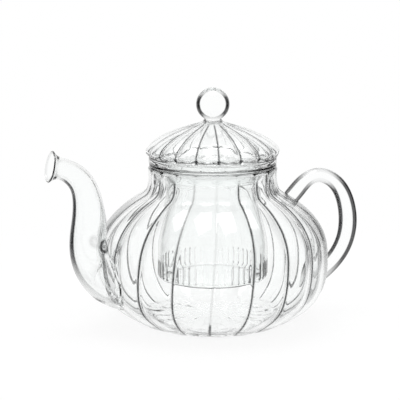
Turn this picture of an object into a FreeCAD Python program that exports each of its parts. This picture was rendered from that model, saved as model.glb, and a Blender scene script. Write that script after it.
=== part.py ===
import FreeCAD, Part
import math
import os
import Sketcher

# Glass teapot: fluted pot with spout and handle, slit infuser, fluted lid with ball knob.
# Millimetres, +Z up, origin on the pot's axis at the table, spout along -X, handle along +X.

doc = FreeCAD.newDocument("teapot")
sheet = doc.addObject("Spreadsheet::Sheet", "Sizes")

UP = FreeCAD.Vector(0, 0, 1)
ACROSS = FreeCAD.Vector(0, 1, 0)
LEFT, RIGHT = 1, -1

# Driving sizes
SIZES = {
    "flutes": 18,
    "pot_wall": 2.0,
    "pot_flute": 0.04,
    "pot_bead": 1.7,
    "punt_radius": 27.0,
    "punt_depth": 1.2,
    "spout_wall": 1.8,
    "infuser_radius": 33.0,
    "infuser_wall": 1.5,
    "infuser_corner": 4.0,
    "infuser_waist": 28.9,
    "infuser_floor": 27.0,
    "bulb_top": 46.0,
    "waist_foot": 72.0,
    "flange_radius": 37.0,
    "flange_fillet": 2.0,
    "slits": 48,
    "slit_width": 0.7,
    "slit_height": 9.6,
    "seat_gap": 0.3,
    "lid_wall": 1.8,
    "lid_flute": 0.06,
    "lid_turn": 5.0,
    "collar_radius": 37.2,
    "collar_height": 4.0,
    "collar_web": 2.0,
    "skirt_radius": 26.9,
    "skirt_depth": 10.0,
    "knob_radius": 9.7,
    "knob_waist": 5.0,
    "knob_foot": 5.7,
    "knob_lift": 10.0,
}

# Pot levels, from the table up: height and radius at the crest of a flute
POT_LEVELS = {
    "base": (0, 37.5),
    "heel": (3, 44.2),
    "turn": (9, 54.4),
    "flank": (18, 63.3),
    "belly": (39, 67.5),
    "upper": (52, 65.9),
    "shoulder": (62, 60.7),
    "slope": (70, 52.7),
    "crook": (76, 43.8),
    "throat": (79.5, 39.0),
    "neck": (84, 37.6),
    "rim": (91.5, 37.7),
}

# Lid levels, as heights above the lid's collar, and crest radius
LID_LEVELS = {
    "crease": (0, 37.0),
    "swell": (1.3, 38.6),
    "bulge": (3.1, 39.1),
    "brow": (5.4, 38.0),
    "dome": (8.3, 34.8),
    "arch": (11.4, 29.8),
    "cap": (14.4, 23.2),
    "crown": (17.1, 15.5),
    "summit": (19.0, 9.3),
    "top": (20.1, 6.4),
}

# Spout centreline, from inside the pot to the lip: reach from the axis, height, tube radius
SPOUT_STATIONS = {
    "spout_seat": (54.0, 27.5, 14.2),
    "spout_root": (66.0, 33.0, 13.2),
    "spout_bend": (73.2, 42.0, 11.9),
    "spout_rise": (75.6, 53.0, 10.9),
    "spout_stem": (75.2, 64.5, 10.0),
    "spout_taper": (75.8, 76.0, 8.6),
    "spout_bow": (79.0, 87.0, 7.4),
    "spout_turn": (85.0, 93.6, 6.6),
    "spout_throat": (91.2, 96.6, 6.2),
    "spout_flare": (94.8, 97.5, 7.1),
    "spout_lip": (97.2, 98.0, 9.1),
}

# Handle centreline, from the shoulder over the top and down to the belly, with rod radius
HANDLE_STATIONS = {
    "grip_seat": (46.0, 68.0, 4.6),
    "grip_root": (53.5, 76.0, 4.9),
    "grip_rise": (59.5, 81.6, 4.5),
    "grip_top": (67.0, 84.0, 4.3),
    "grip_fall": (75.0, 81.5, 4.5),
    "grip_upper": (81.5, 75.0, 4.9),
    "grip_back": (85.5, 65.5, 5.3),
    "grip_outer": (86.8, 55.0, 5.5),
    "grip_lower": (85.5, 45.5, 5.4),
    "grip_turn": (81.3, 36.5, 5.3),
    "grip_foot": (74.5, 29.0, 5.3),
    "grip_weld": (66.0, 23.4, 5.8),
    "grip_end": (56.0, 18.0, 5.0),
}

# Sizes that follow from the driving ones
DERIVED = {
    "pot_top": "=rim_height + pot_bead",
    "bead_radius": "=rim_crest * (1 - pot_flute / 2) - pot_wall / 2",
    "punt_sphere": "=(punt_radius ^ 2 + punt_depth ^ 2) / (2 * punt_depth)",
    "punt_drop": "=punt_depth - punt_sphere",
    "infuser_bore": "=infuser_radius - infuser_wall",
    "waist_bore": "=infuser_waist - infuser_wall",
    "bulb_mid": "=(infuser_radius + infuser_waist) / 2",
    "bulb_mid_bore": "=bulb_mid - infuser_wall",
    "bulb_mid_height": "=(bulb_top + waist_foot) / 2",
    "bulb_curve": "=((waist_foot - bulb_top) ^ 2 + (infuser_radius - infuser_waist) ^ 2)"
    " / (4 * (infuser_radius - infuser_waist))",
    "bulb_curve_bore": "=bulb_curve - infuser_wall",
    "waist_curve_bore": "=bulb_curve + infuser_wall",
    "corner_radius": "=infuser_radius - infuser_corner",
    "corner_height": "=infuser_floor + infuser_corner",
    "corner_bore": "=infuser_corner - infuser_wall",
    "infuser_inside": "=infuser_floor + infuser_wall",
    "flange_seat": "=pot_top + seat_gap",
    "flange_top": "=flange_seat + infuser_wall",
    "fillet_radius": "=infuser_waist + flange_fillet",
    "fillet_height": "=flange_seat - flange_fillet",
    "mouth_radius": "=waist_bore + flange_fillet",
    "mouth_height": "=flange_top - flange_fillet",
    "slit_low": "=infuser_inside + 0.7",
    "slit_high": "=slit_low + slit_height",
    "slit_half": "=slit_width / 2",
    "lid_seat": "=flange_top + seat_gap",
    "collar_top": "=lid_seat + collar_height",
    "collar_bore": "=collar_radius - collar_web * 1.6",
    "web_top": "=lid_seat + collar_web",
    "skirt_bore": "=skirt_radius - lid_wall",
    "skirt_low": "=lid_seat - skirt_depth",
    "rim_open_height": "=pot_top + 1",
    "lid_open_height": "=collar_top - 1",
}

# Knob sizes, which follow from the height of the lid's top
KNOB = {
    "knob_centre": "=top_height + knob_lift",
    "knob_neck": "=knob_centre - sqrt(knob_radius ^ 2 - knob_waist ^ 2)",
    "knob_top": "=knob_centre + knob_radius",
}


def put(alias, value):
    """Writes one size or formula into the next row of the sheet, under its own name."""
    row = put.rows = getattr(put, "rows", 0) + 1
    sheet.set(f"A{row}", alias.replace("_", " "))
    sheet.set(f"B{row}", str(value))
    sheet.setAlias(f"B{row}", alias)


def size(alias):
    """Reads one size back from the sheet."""
    return float(sheet.get(alias))


def put_lobe(piece):
    """Adds the arc radius of a flute, as a share of the crest radius, for one fluted piece."""
    half = "(180 / flutes)"
    put(f"{piece}_lobe_rise", f"=1 - (1 - {piece}_flute) * cos({half})")
    put(f"{piece}_lobe_half", f"=(1 - {piece}_flute) * sin({half})")
    rise = f"{piece}_lobe_rise"
    put(f"{piece}_lobe", f"=({rise} ^ 2 + {piece}_lobe_half ^ 2) / (2 * {rise})")


def put_levels(levels, piece, foot):
    """Adds each level's height and crest, and the crest of the inner wall, held square to the slope."""
    names = list(levels)
    for name, (height, crest) in levels.items():
        put(f"{name}_height", f"={foot} + {height}")
        put(f"{name}_crest", crest)
    for i, name in enumerate(names):
        below = names[max(i - 1, 0)]
        above = names[min(i + 1, len(names) - 1)]
        slope = f"({above}_crest - {below}_crest) / ({above}_height - {below}_height)"
        put(f"{name}_inner", f"={name}_crest - {piece}_wall * sqrt(1 + ({slope}) ^ 2)")
        for wall in ("crest", "inner"):
            put(f"{name}_{wall}_groove", f"={name}_{wall} * (1 - {piece}_flute)")
            put(f"{name}_{wall}_lobe", f"={name}_{wall} * {piece}_lobe")


def put_stations(stations, wall):
    """Adds each station's reach, height and radius, and the bore radius if there is a wall."""
    for name, (reach, height, radius) in stations.items():
        put(f"{name}_reach", reach)
        put(f"{name}_height", height)
        put(f"{name}_radius", radius)
        if wall:
            put(f"{name}_bore", f"={name}_radius - {wall}")


def origin_part(body, role):
    """Finds one of a body's own origin planes or axes."""
    return next(part for part in body.Origin.OriginFeatures if part.Role == role)


def sketch_on(body, role, name):
    """Starts a sketch on one of the body's origin planes."""
    sketch = body.newObject("Sketcher::SketchObject", name)
    sketch.AttachmentSupport = [(origin_part(body, role), "")]
    sketch.MapMode = "FlatFace"
    return sketch


def bind(sketch, alias, kind, *places):
    """Adds a dimension to a sketch and ties it to a size in the sheet."""
    index = sketch.addConstraint(Sketcher.Constraint(kind, *places, size(alias)))
    sketch.renameConstraint(index, f"dim_{index}")
    sketch.setExpression(f"Constraints.dim_{index}", f"Sizes.{alias}")


def fluted_ring(body, name, wall, height):
    """Draws a closed ring of equal lobes: arcs that meet on the groove circle."""
    sketch = sketch_on(body, "XY_Plane", f"{name}_{wall}_ring")
    sketch.setExpression("AttachmentOffset.Base.z", f"Sizes.{height}")
    flutes = int(size("flutes"))
    crest = size(f"{name}_{wall}")
    groove = size(f"{name}_{wall}_groove")
    lobe = size(f"{name}_{wall}_lobe")
    pitch = math.pi / flutes
    span = math.atan2(groove * math.sin(pitch), groove * math.cos(pitch) - crest + lobe)
    for k in range(flutes):
        angle = 2 * pitch * k
        centre = (crest - lobe) * FreeCAD.Vector(math.cos(angle), math.sin(angle), 0)
        circle = Part.Circle(centre, UP, lobe)
        sketch.addGeometry(Part.ArcOfCircle(circle, angle - span, angle + span))
    grooves = sketch.addGeometry(Part.Circle(FreeCAD.Vector(), UP, groove), True)
    centres = sketch.addGeometry(Part.Circle(FreeCAD.Vector(), UP, crest - lobe), True)
    rules = [Sketcher.Constraint("Coincident", c, 3, -1, 1) for c in (grooves, centres)]
    for k in range(flutes):
        rules.append(Sketcher.Constraint("Coincident", k, 2, (k + 1) % flutes, 1))
        rules.append(Sketcher.Constraint("PointOnObject", k, 1, grooves))
        rules.append(Sketcher.Constraint("PointOnObject", k, 3, centres))
    rules += [Sketcher.Constraint("Equal", 0, k) for k in range(1, flutes)]
    rules.append(Sketcher.Constraint("PointOnObject", 0, 3, -1))
    sketch.addConstraint(rules)
    bind(sketch, f"{name}_{wall}_groove", "Radius", grooves)
    bind(sketch, f"{name}_{wall}_lobe", "Radius", 0)
    return sketch


def loft(body, sections, kind="Additive"):
    """Runs a smooth skin through a row of section sketches, to add or to cut."""
    feature = body.newObject(f"PartDesign::{kind}Loft", f"{body.Name}_{kind}")
    feature.Profile = sections[0]
    feature.Sections = sections[1:]
    doc.recompute()
    return feature


def tube_sections(body, stations, side, radius):
    """Draws a circle square to the centreline at each station; side is -1 or 1 along X."""
    names = list(stations)
    points = [FreeCAD.Vector(side * size(f"{n}_reach"), 0, size(f"{n}_height")) for n in names]
    sections = []
    for i, name in enumerate(names):
        along = points[min(i + 1, len(names) - 1)] - points[max(i - 1, 0)]
        tilt = math.degrees(math.atan2(along.x, along.z))
        sketch = sketch_on(body, "XY_Plane", f"{name}_{radius}_ring")
        sketch.AttachmentOffset = FreeCAD.Placement(points[i], FreeCAD.Rotation(ACROSS, tilt))
        sketch.setExpression("AttachmentOffset.Base.x", f"{side} * Sizes.{name}_reach")
        sketch.setExpression("AttachmentOffset.Base.z", f"Sizes.{name}_height")
        circle = sketch.addGeometry(Part.Circle(FreeCAD.Vector(), UP, size(f"{name}_{radius}")))
        sketch.addConstraint(Sketcher.Constraint("Coincident", circle, 3, -1, 1))
        bind(sketch, f"{name}_{radius}", "Radius", circle)
        sections.append(sketch)
    return sections


def corner(alias_pair):
    """Turns a pair of size names into a point; None stands for the axis."""
    return FreeCAD.Vector(*[size(alias) if alias else 0 for alias in alias_pair], 0)


def rounded(start, end, radius):
    """Makes an arc from start to end; it turns left for a positive radius and right for a negative."""
    chord = end - start
    half = chord.Length / 2
    left = FreeCAD.Vector(-chord.y, chord.x, 0).normalize()
    reach = math.sqrt(max(radius * radius - half * half, 0))
    rise = math.copysign(abs(radius) - reach, radius)
    return Part.Arc(start, (start + end) / 2 - left * rise, end)


def turned(name, outline):
    """Revolves a closed outline of (radius, height, arc to the next point) about the Z axis."""
    body = doc.addObject("PartDesign::Body", name)
    sketch = sketch_on(body, "XZ_Plane", f"{name}_outline")
    count = len(outline)
    points = [corner(place[:2]) for place in outline]
    starts = []
    for i, (_, _, arc) in enumerate(outline):
        end = points[(i + 1) % count]
        turn, alias = arc or (LEFT, None)
        starts.append(1 if turn == LEFT else 2)
        if arc:
            sketch.addGeometry(rounded(points[i], end, turn * size(alias)))
        else:
            sketch.addGeometry(Part.LineSegment(points[i], end))
    for i, (across, up, arc) in enumerate(outline):
        last = (i - 1) % count
        sketch.addConstraint(Sketcher.Constraint("Coincident", i, starts[i], last, 3 - starts[last]))
        if across:
            bind(sketch, across, "DistanceX", -1, 1, i, starts[i])
        else:
            sketch.addConstraint(Sketcher.Constraint("PointOnObject", i, starts[i], -2))
        bind(sketch, up, "DistanceY", -1, 1, i, starts[i])
        if arc:
            bind(sketch, arc[1], "Radius", i)
    spin = body.newObject("PartDesign::Revolution", f"{name}_turned")
    spin.Profile = sketch
    spin.ReferenceAxis = (origin_part(body, "Z_Axis"), [""])
    spin.Angle = 360
    doc.recompute()
    return body


def combine(kind, name, base, tool):
    """Joins or cuts two objects into a new one."""
    result = doc.addObject(f"Part::{kind}", name)
    result.Base = base
    result.Tool = tool
    doc.recompute()
    return result


# Fill the sheet
for alias, value in SIZES.items():
    put(alias, value)
put_lobe("pot")
put_lobe("lid")
put_levels(POT_LEVELS, "pot", "0")
put_stations(SPOUT_STATIONS, "spout_wall")
put_stations(HANDLE_STATIONS, None)
for alias, formula in DERIVED.items():
    put(alias, formula)
put_levels(LID_LEVELS, "lid", "collar_top")
for alias, formula in KNOB.items():
    put(alias, formula)
doc.recompute()

# Pot, outside and inside
pot_outer = doc.addObject("PartDesign::Body", "pot_outer")
loft(pot_outer, [fluted_ring(pot_outer, n, "crest", f"{n}_height") for n in POT_LEVELS])
pot_inner = doc.addObject("PartDesign::Body", "pot_inner")
inside = [fluted_ring(pot_inner, n, "inner", f"{n}_height") for n in list(POT_LEVELS)[1:]]
inside.append(fluted_ring(pot_inner, "rim", "inner", "rim_open_height"))
loft(pot_inner, inside)

# Spout tube and its bore, which also opens the pot's wall
spout_outer = doc.addObject("PartDesign::Body", "spout_outer")
loft(spout_outer, tube_sections(spout_outer, SPOUT_STATIONS, -1, "radius"))
spout_bore = doc.addObject("PartDesign::Body", "spout_bore")
loft(spout_bore, tube_sections(spout_bore, SPOUT_STATIONS, -1, "bore"))

# Pot with its fire-polished rim bead, pour hole and raised base
bead = doc.addObject("Part::Torus", "rim_bead")
bead.setExpression("Radius1", "Sizes.bead_radius")
bead.setExpression("Radius2", "Sizes.pot_bead")
bead.setExpression("Placement.Base.z", "Sizes.rim_height")
punt = doc.addObject("Part::Sphere", "punt")
punt.setExpression("Radius", "Sizes.punt_sphere")
punt.setExpression("Placement.Base.z", "Sizes.punt_drop")
pot_shell = combine("Cut", "pot_shell", pot_outer, pot_inner)
pot_beaded = combine("Fuse", "pot_beaded", pot_shell, bead)
pot_opened = combine("Cut", "pot_opened", pot_beaded, spout_bore)
pot_body = combine("Cut", "pot_body", pot_opened, punt)

# Spout and handle, trimmed to seat on the flutes
spout_tube = combine("Cut", "spout_tube", spout_outer, spout_bore)
spout = combine("Cut", "spout", spout_tube, pot_outer)
handle_rod = doc.addObject("PartDesign::Body", "handle_rod")
loft(handle_rod, tube_sections(handle_rod, HANDLE_STATIONS, 1, "radius"))
handle = combine("Cut", "handle", handle_rod, pot_outer)

# Infuser: flanged cup with a waist, and slits round its lower edge, cut in opposite pairs
infuser = turned(
    "infuser",
    [
        (None, "infuser_floor", None),
        ("corner_radius", "infuser_floor", (LEFT, "infuser_corner")),
        ("infuser_radius", "corner_height", None),
        ("infuser_radius", "bulb_top", (LEFT, "bulb_curve")),
        ("bulb_mid", "bulb_mid_height", (RIGHT, "bulb_curve")),
        ("infuser_waist", "waist_foot", None),
        ("infuser_waist", "fillet_height", (RIGHT, "flange_fillet")),
        ("fillet_radius", "flange_seat", None),
        ("flange_radius", "flange_seat", None),
        ("flange_radius", "flange_top", None),
        ("mouth_radius", "flange_top", (LEFT, "flange_fillet")),
        ("waist_bore", "mouth_height", None),
        ("waist_bore", "waist_foot", (LEFT, "waist_curve_bore")),
        ("bulb_mid_bore", "bulb_mid_height", (RIGHT, "bulb_curve_bore")),
        ("infuser_bore", "bulb_top", None),
        ("infuser_bore", "corner_height", (RIGHT, "corner_bore")),
        ("corner_radius", "infuser_inside", None),
        (None, "infuser_inside", None),
    ],
)
slit = sketch_on(infuser, "YZ_Plane", "slit_outline")
half, low, high = size("slit_half"), size("slit_low"), size("slit_high")
corners = [(-half, low), (half, low), (half, high), (-half, high)]
ends = [FreeCAD.Vector(x, y, 0) for x, y in corners]
for k in range(4):
    slit.addGeometry(Part.LineSegment(ends[k], ends[(k + 1) % 4]))
for k in range(4):
    slit.addConstraint(Sketcher.Constraint("Coincident", k, 2, (k + 1) % 4, 1))
slit.addConstraint(Sketcher.Constraint("Symmetric", 0, 1, 0, 2, -2))
slit.addConstraint(Sketcher.Constraint("Vertical", 1))
slit.addConstraint(Sketcher.Constraint("Horizontal", 2))
slit.addConstraint(Sketcher.Constraint("Vertical", 3))
bind(slit, "slit_width", "DistanceX", 0, 1, 0, 2)
bind(slit, "slit_low", "DistanceY", -1, 1, 0, 1)
bind(slit, "slit_height", "DistanceY", 1, 1, 1, 2)
cut = infuser.newObject("PartDesign::Pocket", "slit_cut")
cut.Profile = slit
cut.Type = "ThroughAll"
cut.Midplane = True
doc.recompute()
slits = infuser.newObject("PartDesign::PolarPattern", "slit_ring")
slits.Originals = [cut]
slits.Axis = (origin_part(infuser, "Z_Axis"), [""])
slits.Mode = "Spacing"
slits.setExpression("Offset", "360 / Sizes.slits")
slits.setExpression("Occurrences", "Sizes.slits / 2")
infuser.Tip = slits
doc.recompute()

# Lid: collar with its locating skirt, fluted dome, ball knob
lid_collar = turned(
    "lid_collar",
    [
        ("skirt_radius", "lid_seat", None),
        ("collar_radius", "lid_seat", None),
        ("collar_radius", "collar_top", None),
        ("collar_bore", "collar_top", None),
        ("collar_bore", "web_top", None),
        ("skirt_bore", "web_top", None),
        ("skirt_bore", "skirt_low", None),
        ("skirt_radius", "skirt_low", None),
    ],
)
lid_dome = doc.addObject("PartDesign::Body", "lid_dome")
loft(lid_dome, [fluted_ring(lid_dome, n, "crest", f"{n}_height") for n in LID_LEVELS])
hollow = [fluted_ring(lid_dome, "crease", "inner", "lid_open_height")]
hollow += [fluted_ring(lid_dome, n, "inner", f"{n}_height") for n in list(LID_LEVELS)[:-2]]
loft(lid_dome, hollow, "Subtractive")
lid_dome.Placement = FreeCAD.Placement(FreeCAD.Vector(), FreeCAD.Rotation(UP, size("lid_turn")))
lid_knob = turned(
    "lid_knob",
    [
        (None, "top_height", None),
        ("knob_foot", "top_height", None),
        ("knob_waist", "knob_neck", (LEFT, "knob_radius")),
        (None, "knob_top", None),
    ],
)
doc.recompute()

# Check every object, then write one file for each piece
for thing in doc.Objects:
    if "Invalid" in thing.State or "Error" in thing.State:
        raise RuntimeError(f"{thing.Label} did not build: {thing.State}")
os.makedirs("parts", exist_ok=True)
for piece in (pot_body, spout, handle, infuser, lid_collar, lid_dome, lid_knob):
    shape = piece.Shape
    if shape.isNull() or not shape.isValid() or len(shape.Solids) != 1:
        raise RuntimeError(f"{piece.Label} is not one sound solid")
    shape.exportStep(f"parts/{piece.Label}.step")
    print(piece.Label, round(shape.Volume), "mm3", shape.BoundBox)
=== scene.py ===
"""Clear glass teapot with a lift-out infuser and a domed lid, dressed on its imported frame."""

import math

import bpy
import numpy as np
from bpy.props import FloatProperty, FloatVectorProperty, IntProperty, PointerProperty
from mathutils import Matrix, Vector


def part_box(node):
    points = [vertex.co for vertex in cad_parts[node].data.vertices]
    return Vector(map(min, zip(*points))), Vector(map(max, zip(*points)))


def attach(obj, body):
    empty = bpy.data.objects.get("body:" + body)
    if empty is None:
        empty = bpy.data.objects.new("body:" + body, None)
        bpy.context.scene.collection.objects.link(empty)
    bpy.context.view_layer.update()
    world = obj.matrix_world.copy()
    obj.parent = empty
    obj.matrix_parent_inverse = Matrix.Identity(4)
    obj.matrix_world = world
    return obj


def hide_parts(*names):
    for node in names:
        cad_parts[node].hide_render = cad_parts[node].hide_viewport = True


bl_info = {
    "name": "Glass Teapot",
    "version": (1, 0, 0),
    "blender": (4, 5, 0),
    "location": "View3D > Sidebar > Teapot",
    "description": "Makes a fluted glass teapot with infuser and lid around its fixed frame",
    "category": "Object",
}

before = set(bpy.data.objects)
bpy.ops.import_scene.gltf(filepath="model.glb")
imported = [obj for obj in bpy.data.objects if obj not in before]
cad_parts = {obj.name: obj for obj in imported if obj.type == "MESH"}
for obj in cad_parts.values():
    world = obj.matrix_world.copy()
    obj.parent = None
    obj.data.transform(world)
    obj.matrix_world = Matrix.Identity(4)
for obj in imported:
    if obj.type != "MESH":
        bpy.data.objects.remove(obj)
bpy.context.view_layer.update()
BOX = {node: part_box(node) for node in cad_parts}

# Heights and widths of the frame, in metres
POT_TOP = BOX["pot_body"][1].z
POT_RADIUS = BOX["pot_body"][1].x
INFUSER_LOW = BOX["infuser"][0].z
INFUSER_TOP = BOX["infuser"][1].z
FLANGE_RADIUS = BOX["infuser"][1].x
SKIRT_LOW = BOX["lid_collar"][0].z
COLLAR_TOP = BOX["lid_collar"][1].z
COLLAR_RADIUS = BOX["lid_collar"][1].x
DOME_TOP = BOX["lid_dome"][1].z
DOME_RADIUS = (BOX["lid_dome"][1].y - BOX["lid_dome"][0].y) / 2
KNOB_TOP = BOX["lid_knob"][1].z
KNOB_RADIUS = BOX["lid_knob"][1].y

# One millimetre, as the pot is 93.2 mm high, and the gap left at a weld
MM = POT_TOP / 93.2
WELD_GAP = 0.05 * MM

# How steeply a form faces up at a rim
FACE_UP = 9

# Outline of the pot at the crest of a flute: radius and height, as shares of the pot's own
POT_OUTLINE = np.array([
    (0.444, 0.000), (0.500, 0.000), (0.548, 0.003), (0.655, 0.032), (0.806, 0.097), (0.938, 0.193),
    (1.000, 0.418), (0.976, 0.558), (0.899, 0.665), (0.781, 0.751), (0.649, 0.815), (0.578, 0.853),
    (0.557, 0.901), (0.5585, 0.9818),
])
POT_ROWS, INNER_ROWS = 86, slice(11, -4)
BELLY_SHARE = 0.42

# Raised middle of the base, petals in the floor over it, and rim bead
PUNT_RADIUS, PUNT_DEPTH = 27.0 * MM, 1.2 * MM
FLOOR_LOW, FLOOR_ROWS = 2.5 * MM, 9
PETAL_DEPTH = 0.45 * MM
BEAD_RING, BEAD_RADIUS = 36.0 * MM, 1.7 * MM

# Outline of the dome at the crest of a flute, above the collar, as shares of its own
DOME_OUTLINE = np.array([
    (0.946, 0.000), (0.987, 0.065), (1.000, 0.154), (0.972, 0.269), (0.890, 0.413), (0.762, 0.567),
    (0.593, 0.716), (0.396, 0.851), (0.238, 0.945), (0.164, 1.000),
])

# Spout centreline from inside the pot to the lip: x, z and tube radius, in millimetres
SPOUT_LINE = np.array([
    (-54.0, 27.5, 14.2), (-66.0, 33.0, 13.2), (-73.2, 42.0, 11.9), (-75.6, 53.0, 10.9),
    (-75.2, 64.5, 10.0), (-75.8, 76.0, 8.6), (-79.0, 87.0, 7.4), (-85.0, 93.6, 6.6),
    (-91.2, 96.6, 6.2), (-94.8, 97.5, 7.1), (-97.2, 98.0, 9.1),
])
SPOUT_STEPS = 240
ROOT_HEIGHT, ROOT_WIDENING = 31.0 * MM, 1.35
WELD_KNOT = np.array([-68.5, 8.8, 52.0]) * MM

# Handle centreline from the shoulder over the top to the belly: x, z and rod radius
HANDLE_LINE = np.array([
    (46.0, 68.0, 4.6), (53.5, 76.0, 4.9), (59.5, 81.6, 4.5), (67.0, 84.0, 4.3), (75.0, 81.5, 4.5),
    (81.5, 75.0, 4.9), (85.5, 65.5, 5.3), (86.8, 55.0, 5.5), (85.5, 45.5, 5.4), (81.3, 36.5, 5.3),
    (74.5, 29.0, 5.3), (66.0, 23.4, 5.8), (56.0, 18.0, 5.0),
])
HANDLE_HALF = 200

# Infuser: wall, lower corner, radius at belly and waist, and slits with their share of the grid
INFUSER_WALL, INFUSER_CORNER = 1.5 * MM, 4.0 * MM
INFUSER_BELLY, INFUSER_WAIST = 33.0 * MM, 28.9 * MM
SLIT_LOW, SLIT_HIGH = INFUSER_LOW + 2.2 * MM, INFUSER_LOW + 11.8 * MM
SLIT_ROWS, SLIT_COLUMNS = 14, 8

# Dark cards, low and high: degrees from straight behind the pot and sine of the rise, each with its darkness
CARDS = (
    (((-80, 0), (-70, 1), (-48, 1), (-40, 0), (38, 0), (46, 1), (66, 1), (76, 0)),
     ((-0.40, 0), (-0.20, 1), (-0.08, 1), (-0.04, 0))),
    (((-80, 0), (-70, 1), (-44, 1), (-36, 0), (34, 0), (42, 1), (66, 1), (76, 0)),
     ((-0.08, 0), (-0.04, 1), (0.6, 1), (0.85, 0))),
)
CARD_LIGHT = 0.10

# Floor: drop under the foot, start and end of its fade, in metres and as a share of its radius, and own white
FLOOR_DROP = 0.0001
FADE_START, FADE_END = 0.16, 0.96
OWN_WHITE = 0.92

# Where the camera aims: over the table, and left of the pot's axis
AIM_HEIGHT, AIM_LEFT = 0.0731, 0.0074


class TeapotShape(bpy.types.PropertyGroup):
    """Sizes of the glass."""

    flutes: IntProperty(name="Flutes", description="Lobes round the pot and the lid", default=18, min=6)
    pot_wall: FloatProperty(
        name="Pot wall", description="Glass thickness at the crest of a flute", default=2.2 * MM,
        unit="LENGTH", precision=4)
    lid_wall: FloatProperty(
        name="Lid wall", description="Glass thickness of the lid's dome", default=1.8 * MM,
        unit="LENGTH", precision=4)
    spout_wall: FloatProperty(
        name="Spout wall", description="Glass thickness of the spout", default=1.8 * MM,
        unit="LENGTH", precision=4)
    root_flare: FloatProperty(
        name="Root flare", description="How far the spout spreads sideways where it is welded on",
        default=8.0 * MM, unit="LENGTH", precision=4)
    pot_flute: FloatProperty(
        name="Pot flute", description="Depth of a groove as a share of the radius", default=0.04,
        subtype="FACTOR")
    lid_flute: FloatProperty(
        name="Lid flute", description="Depth of a lid groove as a share of the radius", default=0.06,
        subtype="FACTOR")
    crease: FloatProperty(
        name="Crease", description="Extra depth of the sharp crease in each groove, as a share of the radius",
        default=0.003, subtype="FACTOR")
    twist: FloatProperty(
        name="Twist", description="Lean of the flutes from foot to rim, from the blowing", default=math.radians(7),
        subtype="ANGLE")
    lid_turn: FloatProperty(
        name="Lid turn", description="How far the lid is turned on its seat", default=math.radians(5),
        subtype="ANGLE")
    slits: IntProperty(name="Slits", description="Slits round the infuser", default=48, min=12)
    slit_width: FloatProperty(
        name="Slit width", description="Width of a slit", default=0.7 * MM, unit="LENGTH", precision=4)


class TeapotGlass(bpy.types.PropertyGroup):
    """Finish of the glass."""

    tint: FloatVectorProperty(
        name="Tint", description="Colour of the glass", default=(0.985, 0.992, 0.99), subtype="COLOR",
        min=0, max=1)
    # Painted shade: the near-black colour that edges and creases of the glass are painted towards
    painted_shade_tint: FloatVectorProperty(
        name="Deep tint", description="Colour of the glass seen edge on", default=(0.006, 0.0062, 0.0066),
        subtype="COLOR", min=0, max=1)
    ior: FloatProperty(name="Refraction", description="Index of refraction", default=1.47)
    ripple: FloatProperty(
        name="Ripple", description="Height of the fire-polished waves", default=0.012 * MM, unit="LENGTH",
        precision=5)


class TeapotStage(bpy.types.PropertyGroup):
    """Camera and studio."""

    azimuth: FloatProperty(
        name="Azimuth", description="Turn of the camera round the pot", default=math.radians(-20),
        subtype="ANGLE")
    elevation: FloatProperty(
        name="Elevation", description="Height of the camera over the table", default=math.radians(10.3),
        subtype="ANGLE")
    distance: FloatProperty(
        name="Distance", description="From the pot's axis to the camera", default=1.0, unit="LENGTH")
    frame_width: FloatProperty(
        name="Frame width", description="Width of the picture at the pot's axis", default=0.2334, unit="LENGTH")
    floor_radius: FloatProperty(
        name="Floor radius", description="Where the floor has faded into the backdrop", default=0.34,
        unit="LENGTH")


def smooth_through(points, count):
    """Natural cubic curve through the points, read at even steps of the chord length of its first two columns."""
    p = np.asarray(points, float)
    t = np.r_[0, np.cumsum(np.linalg.norm(np.diff(p[:, :2], axis=0), axis=1))]
    h = np.diff(t)
    last = len(t) - 1
    mid = np.arange(1, last)
    system = np.eye(len(t))
    system[mid, mid - 1] = h[:-1]
    system[mid, mid] = 2 * (h[:-1] + h[1:])
    system[mid, mid + 1] = h[1:]
    right = np.zeros_like(p)
    right[1:-1] = 6 * np.diff(np.diff(p, axis=0) / h[:, None], axis=0)
    bend = np.linalg.solve(system, right)
    at = np.linspace(0, t[-1], count)
    k = np.clip(np.searchsorted(t, at, side="right") - 1, 0, last - 1)
    a, b, w = (t[k + 1] - at)[:, None], (at - t[k])[:, None], h[k][:, None]
    curve = (bend[k] * a**3 + bend[k + 1] * b**3) / (6 * w)
    return curve + (p[k] / w - bend[k] * w / 6) * a + (p[k + 1] / w - bend[k + 1] * w / 6) * b


def unit(vectors):
    """Vectors of the last axis, each divided by its length."""
    return vectors / np.linalg.norm(vectors, axis=-1, keepdims=True)


def inset(line, wall):
    """Moves each point of an outline sideways by the wall, to the left of its direction."""
    step = np.gradient(line, axis=0)
    left = np.stack([-step[:, 1], step[:, 0]], axis=1)
    return line + wall * left / np.linalg.norm(left, axis=1)[:, None]


def arc(centre, radius, start, end, count):
    """Points of a circle's arc about the centre, from start to end in degrees."""
    angle = np.radians(np.linspace(start, end, count))
    return np.stack([centre[0] + radius * np.cos(angle), centre[1] + radius * np.sin(angle)], axis=1)


def spokes(first, last, count, radius, height):
    """Points along a radius at one height, from the first share of it to the last."""
    return np.stack([np.linspace(first, last, count) * radius, np.full(count, height)], axis=1)


def full_turn(count):
    """Even angles round a full turn, as one row."""
    return np.linspace(0, 2 * math.pi, count, endpoint=False)[None, :]


def ease(value, low, high):
    """Goes smoothly from 0 at low to 1 at high."""
    share = np.clip((value - low) / (high - low), 0, 1)
    return share * share * (3 - 2 * share)


def bell(distance, width):
    """A bell curve: 1 at no distance, and close to 0 beyond twice the width."""
    return np.exp(-((distance / width) ** 2))


def flute_angles(flutes, per_half):
    """Angles round a fluted ring, from crest to crest, set closer together towards each groove by a power."""
    crowd = 1.7
    half = math.pi / flutes
    share = np.arange(per_half) / per_half
    one = np.r_[half - half * (1 - share) ** crowd, half + half * share**crowd]
    return (one[None, :] + 2 * half * np.arange(flutes)[:, None]).reshape(1, -1)


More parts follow.
